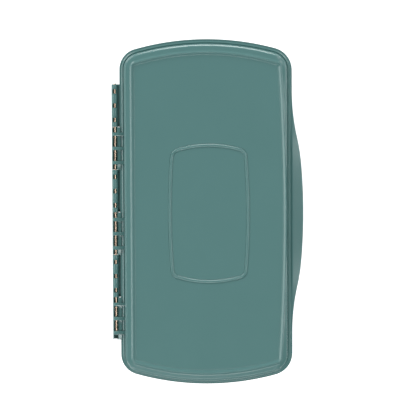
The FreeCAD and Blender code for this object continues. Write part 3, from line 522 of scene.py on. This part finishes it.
def knuckleTree():
    # One group of knuckles: barrel, web and ribs, less windows, slots and the pin's bore. The
    # group is then set down along the pin. Sizes go in as millimetres and come out as metres,
    # and only Pin goes in as metres.
    tree = bpy.data.node_groups.new("knuckleGroups", "GeometryNodeTree")
    floats = ("Barrel Radius", "Barrel Length", "Bore Radius", "Third")
    vectors = ("Web Size", "Web Centre", "Rib Size", "Rib Centre", "Window Size",
               "Window Centre", "Slot Size", "Slot Centre", "Group Start", "Group Step", "Pin")
    counts = ("Sides", "Rib Count", "Window Count", "Slot Count", "Group Count")
    for names, kind in ((floats, "Float"), (vectors, "Vector"), (counts, "Int")):
        for name in names:
            tree.interface.new_socket(name, in_out="INPUT", socket_type="NodeSocket" + kind)
    tree.interface.new_socket("Material", in_out="INPUT", socket_type="NodeSocketMaterial")
    tree.interface.new_socket("Geometry", in_out="OUTPUT", socket_type="NodeSocketGeometry")
    given = node(tree, "NodeGroupInput").outputs

    def rod(radius, length):
        made = node(tree, "GeometryNodeMeshCylinder",
                    {"Vertices": given["Sides"], "Radius": radius, "Depth": length})
        halfFlat = math.pi / hinge["sides"]
        return node(tree, "GeometryNodeTransform",
                    {"Geometry": made.outputs["Mesh"],
                     "Rotation": (math.pi / 2, halfFlat, 0)}).outputs["Geometry"]

    def blocks(size, centre, count):
        # a row of blocks along the group, one third of its length apart, evenly about centre
        box = node(tree, "GeometryNodeMeshCube", {"Size": size})
        spans = node(tree, "ShaderNodeMath", {0: count, 1: 1.0}, operation="SUBTRACT")
        back = node(tree, "ShaderNodeMath", {0: spans.outputs[0], 1: given["Third"]},
                    operation="MULTIPLY")
        half = node(tree, "ShaderNodeMath", {0: back.outputs[0], 1: -0.5}, operation="MULTIPLY")
        shift = node(tree, "ShaderNodeCombineXYZ", {"Y": half.outputs[0]})
        start = node(tree, "ShaderNodeVectorMath", {0: centre, 1: shift.outputs[0]},
                     operation="ADD")
        step = node(tree, "ShaderNodeCombineXYZ", {"Y": given["Third"]})
        row = node(tree, "GeometryNodeMeshLine",
                   {"Count": count, "Start Location": start.outputs[0],
                    "Offset": step.outputs[0]})
        placed = node(tree, "GeometryNodeInstanceOnPoints",
                      {"Points": row.outputs["Mesh"], "Instance": box.outputs["Mesh"]})
        return node(tree, "GeometryNodeRealizeInstances",
                    {"Geometry": placed.outputs["Instances"]}).outputs["Geometry"]

    web = node(tree, "GeometryNodeTransform",
               {"Geometry": node(tree, "GeometryNodeMeshCube",
                                 {"Size": given["Web Size"]}).outputs["Mesh"],
                "Translation": given["Web Centre"]})
    # the bore is cut by a rod that runs past both ends
    longer = node(tree, "ShaderNodeMath", {0: given["Barrel Length"], 1: 2.0}, operation="ADD")
    body = node(tree, "GeometryNodeMeshBoolean",
                {"Mesh 2": [rod(given["Barrel Radius"], given["Barrel Length"]),
                            web.outputs["Geometry"],
                            blocks(given["Rib Size"], given["Rib Centre"], given["Rib Count"])]},
                operation="UNION", solver="EXACT")
    cut = node(tree, "GeometryNodeMeshBoolean",
               {"Mesh 1": body.outputs["Mesh"],
                "Mesh 2": [blocks(given["Window Size"], given["Window Centre"],
                                  given["Window Count"]),
                           blocks(given["Slot Size"], given["Slot Centre"],
                                  given["Slot Count"]),
                           rod(given["Bore Radius"], longer.outputs[0])]},
               operation="DIFFERENCE", solver="EXACT")
    row = node(tree, "GeometryNodeMeshLine",
               {"Count": given["Group Count"], "Start Location": given["Group Start"],
                "Offset": given["Group Step"]})
    groups = node(tree, "GeometryNodeInstanceOnPoints",
                  {"Points": row.outputs["Mesh"], "Instance": cut.outputs["Mesh"]})
    sized = node(tree, "GeometryNodeTransform",
                 {"Geometry": groups.outputs["Instances"], "Translation": given["Pin"],
                  "Scale": (mm, mm, mm)})
    real = node(tree, "GeometryNodeRealizeInstances", {"Geometry": sized.outputs["Geometry"]})
    coated = node(tree, "GeometryNodeSetMaterial",
                  {"Geometry": real.outputs["Geometry"], "Material": given["Material"]})
    node(tree, "NodeGroupOutput", {"Geometry": coated.outputs["Geometry"]})
    return tree


def addTree(piece, tree, values):
    # the tree as a modifier, with its inputs set by their identifiers
    made = piece.modifiers.new(tree.name, "NODES")
    made.node_group = tree
    for item in tree.interface.items_tree:
        if item.in_out == "INPUT" and item.name in values:
            made[item.identifier] = values[item.name]


def softenEdges(piece, width, segments, angle):
    edge = piece.modifiers.new("edges", "BEVEL")
    edge.width = width * mm
    edge.segments = segments
    edge.limit_method = "ANGLE"
    edge.angle_limit = math.radians(angle)
    edge.use_clamp_overlap = False


def smoothFaces(piece, angle):
    # smooth shading, with edges sharper than the angle kept
    work = bmesh.new()
    work.from_mesh(piece.data)
    for face in work.faces:
        face.smooth = True
    for line in work.edges:
        line.smooth = len(line.link_faces) == 2 and line.calc_face_angle() < math.radians(angle)
    work.to_mesh(piece.data)
    work.free()


def makeKnuckles(name, sizes, first):
    # first is the place of the row's first group, counted from the upper end
    piece = addObject(name, bpy.data.meshes.new(name))
    values = {"Barrel Radius": hinge["radius"], "Barrel Length": barrel, "Third": third,
              "Sides": hinge["sides"], "Group Count": hinge["groups"] // 2,
              "Group Start": (0, hinge["length"] / 2 - groupLength * (first + 0.5), 0),
              "Group Step": (0, -2 * groupLength, 0),
              "Pin": (hinge["x"] * mm, 0, hinge["z"] * mm),
              "Slot Centre": (0, 0, hinge["slotZ"]), "Material": mouldedAbs}
    addTree(piece, knuckles, {**values, **sizes})
    softenEdges(piece, hinge["edge"], hinge["edgeSteps"], hinge["edgeAngle"])
    applied(piece)
    return piece


def addEndWall(piece):
    # the last lid group is closed at its end, which stops the pin
    end, edge = hinge["gap"] / 2 - hinge["length"] / 2, hinge["endEdge"]
    radius = hinge["radius"] - hinge["endStep"]
    turns = [2 * math.pi * (i + 0.5) / hinge["sides"] for i in range(hinge["sides"])]
    work = bmesh.new()
    work.from_mesh(piece.data)
    rows = []
    for y, size in ((end, radius - edge), (end + edge, radius), (end + hinge["endWall"], radius)):
        rows.append([work.verts.new(Vector((hinge["x"] + size * math.cos(turn), y,
                                            hinge["z"] + size * math.sin(turn))) * mm)
                     for turn in turns])
    for low, high in zip(rows, rows[1:]):
        for i in range(len(low)):
            after = (i + 1) % len(low)
            work.faces.new((low[i], high[i], high[after], low[after]))
    work.faces.new(rows[0])
    work.faces.new(list(reversed(rows[-1])))
    work.to_mesh(piece.data)
    work.free()


knuckles = knuckleTree()
baseKnuckles = makeKnuckles("baseKnuckles", baseGroups, 0)
smoothFaces(baseKnuckles, hinge["sharpAngle"])
finish(baseKnuckles, "baseKnuckles", "base", ["base_shell"])
lidKnuckles = makeKnuckles("lidKnuckles", lidGroups, 1)
addEndWall(lidKnuckles)
smoothFaces(lidKnuckles, hinge["sharpAngle"])
finish(lidKnuckles, "lidKnuckles", "lid", ["lid_shell"])

# Slit mats: a backing sheet that carries rows of teeth, each row parted by vee slits that grip
# the hooks. The rows are one Geometry Nodes tree, in millimetres from the sheet's face.
mat = {"inset": 5.2, "sheet": 1.2, "edge": 0.25, "sharpAngle": 50,
       "rows": {"Row Length": 72.0, "Row Foot": 4.2, "Row Top": 3.0, "Row Height": 2.6,
                "Row Sunk": 0.7, "Row Round": 0.55, "Row Count": 12, "Row Pitch": 13.0,
                "Slit Pitch": 3.6, "Slit Mouth": 1.2, "Slit Depth": 1.9}}


def matTree():
    tree = bpy.data.node_groups.new("slitRows", "GeometryNodeTree")
    tree.interface.new_socket("Geometry", in_out="INPUT", socket_type="NodeSocketGeometry")
    for name in ("Row Length", "Row Foot", "Row Top", "Row Height", "Row Sunk", "Row Round",
                 "Row Pitch", "Slit Pitch", "Slit Mouth", "Slit Depth", "Face", "Turn"):
        tree.interface.new_socket(name, in_out="INPUT", socket_type="NodeSocketFloat")
    tree.interface.new_socket("Row Count", in_out="INPUT", socket_type="NodeSocketInt")
    tree.interface.new_socket("Material", in_out="INPUT", socket_type="NodeSocketMaterial")
    tree.interface.new_socket("Geometry", in_out="OUTPUT", socket_type="NodeSocketGeometry")
    given = node(tree, "NodeGroupInput").outputs

    def reckon(operation, a, b):
        return node(tree, "ShaderNodeMath", {0: a, 1: b}, operation=operation).outputs[0]

    # a row: a section with rounded corners, swept along X, six steps to a slit
    section = node(tree, "GeometryNodeCurvePrimitiveQuadrilateral", {}, mode="TRAPEZOID")
    deep = reckon("ADD", given["Row Height"], given["Row Sunk"])
    for name, source in (("Bottom Width", given["Row Top"]), ("Top Width", given["Row Foot"]),
                         ("Height", deep)):
        tree.links.new(source, section.inputs[name])
    section.inputs["Offset"].default_value = 0.0
    soft = node(tree, "GeometryNodeFilletCurve",
                {"Curve": section.outputs["Curve"], "Radius": given["Row Round"]}, mode="POLY")
    soft.inputs["Count"].default_value = 1
    reach = reckon("MULTIPLY", given["Row Length"], 0.5)
    start = node(tree, "ShaderNodeCombineXYZ", {"X": reckon("MULTIPLY", reach, -1.0)})
    end = node(tree, "ShaderNodeCombineXYZ", {"X": reach})
    line = node(tree, "GeometryNodeCurvePrimitiveLine",
                {"Start": start.outputs[0], "End": end.outputs[0]})
    steps = reckon("DIVIDE", reckon("MULTIPLY", given["Row Length"], 6.0), given["Slit Pitch"])
    stepped = node(tree, "GeometryNodeResampleCurve",
                   {"Curve": line.outputs["Curve"], "Count": reckon("ADD", steps, 1.0)})
    row = node(tree, "GeometryNodeCurveToMesh",
               {"Curve": stepped.outputs["Curve"], "Profile Curve": soft.outputs["Curve"],
                "Fill Caps": True})
    rise = reckon("MULTIPLY", reckon("SUBTRACT", given["Row Height"], given["Row Sunk"]), 0.5)
    lift = node(tree, "ShaderNodeCombineXYZ", {"Z": rise})
    raised = node(tree, "GeometryNodeTransform",
                  {"Geometry": row.outputs["Mesh"], "Translation": lift.outputs[0]})
    # the slits: no point stands higher than a vee whose bottom lies midway between two teeth
    place = node(tree, "ShaderNodeSeparateXYZ",
                 {"Vector": node(tree, "GeometryNodeInputPosition").outputs[0]}).outputs
    halfPitch = reckon("MULTIPLY", given["Slit Pitch"], 0.5)
    away = reckon("SUBTRACT", halfPitch, reckon("PINGPONG", place["X"], halfPitch))
    slope = reckon("DIVIDE", reckon("MULTIPLY", given["Slit Depth"], 2.0), given["Slit Mouth"])
    slitFloor = reckon("SUBTRACT", given["Row Height"], given["Slit Depth"])
    limit = reckon("ADD", slitFloor, reckon("MULTIPLY", away, slope))
    level = reckon("MINIMUM", place["Z"], limit)
    moved = node(tree, "ShaderNodeCombineXYZ", {"X": place["X"], "Y": place["Y"], "Z": level})
    slit = node(tree, "GeometryNodeSetPosition",
                {"Geometry": raised.outputs["Geometry"], "Position": moved.outputs[0]})
    # the rows side by side, on the sheet's face
    spans = reckon("SUBTRACT", given["Row Count"], 1.0)
    first = reckon("MULTIPLY", reckon("MULTIPLY", spans, given["Row Pitch"]), -0.5)
    rows = node(tree, "GeometryNodeMeshLine",
                {"Count": given["Row Count"],
                 "Start Location": node(tree, "ShaderNodeCombineXYZ", {"Y": first}).outputs[0],
                 "Offset": node(tree, "ShaderNodeCombineXYZ",
                                {"Y": given["Row Pitch"]}).outputs[0]})
    placed = node(tree, "GeometryNodeInstanceOnPoints",
                  {"Points": rows.outputs["Mesh"], "Instance": slit.outputs["Geometry"]})
    sized = node(tree, "GeometryNodeTransform",
                 {"Geometry": placed.outputs["Instances"], "Scale": (mm, mm, mm),
                  "Rotation": node(tree, "ShaderNodeCombineXYZ", {"X": given["Turn"]}).outputs[0],
                  "Translation": node(tree, "ShaderNodeCombineXYZ",
                                      {"Z": reckon("MULTIPLY", given["Face"], mm)}).outputs[0]})
    both = node(tree, "GeometryNodeJoinGeometry",
                {"Geometry": [sized.outputs["Geometry"], given["Geometry"]]})
    real = node(tree, "GeometryNodeRealizeInstances", {"Geometry": both.outputs["Geometry"]})
    coated = node(tree, "GeometryNodeSetMaterial",
                  {"Geometry": real.outputs["Geometry"], "Material": given["Material"]})
    node(tree, "NodeGroupOutput", {"Geometry": coated.outputs["Geometry"]})
    return tree


def makeMat(name, back, face, turn, body, replaced):
    # back and face are the heights of the sheet's two sides
    low, high = min(back, face), max(back, face)
    inside = mat["inset"] + 2 * fillStep
    sheet = closedShell(name, rounded([
        (rimRing(inside, low), 0, 0), (rimRing(mat["inset"], low), mat["edge"], 3),
        (rimRing(mat["inset"], high), mat["edge"], 3), (rimRing(inside, high), 0, 0)]))
    sheet.data.materials.clear()
    addTree(sheet, slitRows, {**mat["rows"], "Face": face, "Turn": turn, "Material": castSilicone})
    applied(sheet)
    smoothFaces(sheet, mat["sharpAngle"])
    finish(sheet, name, body, [replaced])


slitRows = matTree()
makeMat("baseMat", base["floor"], base["floor"] + mat["sheet"], 0.0, "base", "base_mat")
makeMat("lidMat", lid["roof"], lid["roof"] - mat["sheet"], math.pi, "lid", "lid_mat")

# the pin and the magnets keep their solids
for name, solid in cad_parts.items():
    coat = drawnBrass if name == "hinge_pin" else nickelPlate if "magnet" in name else None
    if coat:
        solid.data.materials.clear()
        solid.data.materials.append(coat)

# pale paper, 8 m across: the camera and glossy rays see it near white, and it keeps a soft
# shadow
paper = {"half": 4, "colour": "#e8e8e8", "roughness": 0.9, "glow": 0.75}


def makePaper(name, look):
    material = bpy.data.materials.new(name)
    material.use_nodes = True
    tree = material.node_tree
    shader = tree.nodes["Principled BSDF"]
    shader.inputs["Base Color"].default_value = linear(look["colour"])
    shader.inputs["Roughness"].default_value = look["roughness"]
    path = node(tree, "ShaderNodeLightPath")
    seen = node(tree, "ShaderNodeMath", {0: path.outputs["Is Camera Ray"],
                                         1: path.outputs["Is Glossy Ray"]}, operation="ADD")
    seen = node(tree, "ShaderNodeMath", {0: seen.outputs[0],
                                         1: path.outputs["Is Transmission Ray"]},
                operation="ADD", use_clamp=True)
    glow = node(tree, "ShaderNodeEmission", {"Color": (1, 1, 1, 1), "Strength": look["glow"]})
    both = node(tree, "ShaderNodeAddShader", {0: shader.outputs[0], 1: glow.outputs[0]})
    mixed = node(tree, "ShaderNodeMixShader", {0: seen.outputs[0], 1: shader.outputs[0],
                                               2: both.outputs[0]})
    tree.links.new(mixed.outputs[0], tree.nodes["Material Output"].inputs["Surface"])
    return material


floorMesh = bpy.data.meshes.new("floor")
half = paper["half"]
floorMesh.from_pydata([(-half, -half, 0), (half, -half, 0), (half, half, 0), (-half, half, 0)],
                      [], [(0, 1, 2, 3)])
floorMesh.materials.append(makePaper("palePaper", paper))
floor = addObject("floor", floorMesh)

# the camera sees a white backdrop, and all other rays a dim room
room = {"colour": "#f2f4f6", "strength": 0.3}
world = bpy.data.worlds.new("studio")
bpy.context.scene.world = world
world.use_nodes = True
sky = world.node_tree
path = node(sky, "ShaderNodeLightPath")
dim = sky.nodes["Background"]
dim.inputs["Color"].default_value = linear(room["colour"])
dim.inputs["Strength"].default_value = room["strength"]
white = node(sky, "ShaderNodeBackground", {"Color": (1, 1, 1, 1), "Strength": 1.0})
mixed = node(sky, "ShaderNodeMixShader", {0: path.outputs["Is Camera Ray"], 1: dim.outputs[0],
                                          2: white.outputs[0]})
sky.links.new(mixed.outputs[0], sky.nodes["World Output"].inputs["Surface"])

# Softboxes, all aimed at the middle of the box: azimuth and rise in degrees, size in metres,
# power in watts. The low ones draw the bright edges, and the higher ones are fill.
boxDistance, lowSize, highSize = 1.2, (0.7, 0.2), (0.7, 0.25)
softboxes = {
    "upper": (90, 12, lowSize, 5.9),
    "upperLeft": (135, 30, highSize, 3.5),
    "upperLeftLow": (135, 12, lowSize, 2.1),
    "upperRight": (45, 30, highSize, 2.7),
    "above": (2, 63, highSize, 3.0),
    "left": (180, 30, highSize, 2.3),
    "lowerLeft": (225, 12, lowSize, 2.7),
    "lower": (266, 54, highSize, 4.8),
    "right": (10, 12, lowSize, 0.9),
}
for name, (azimuth, rise, size, power) in softboxes.items():
    lamp = bpy.data.lights.new(name, "AREA")
    lamp.shape = "RECTANGLE"
    lamp.size, lamp.size_y = size
    lamp.energy = power
    light = addObject(name, lamp)
    azimuth, rise = math.radians(azimuth), math.radians(rise)
    level = math.cos(rise)
    light.location = boxDistance * Vector((level * math.cos(azimuth), level * math.sin(azimuth),
                                           math.sin(rise)))
    light.rotation_euler = (-light.location).to_track_quat("-Z", "Y").to_euler()
    light.visible_camera = False
print("stage set")
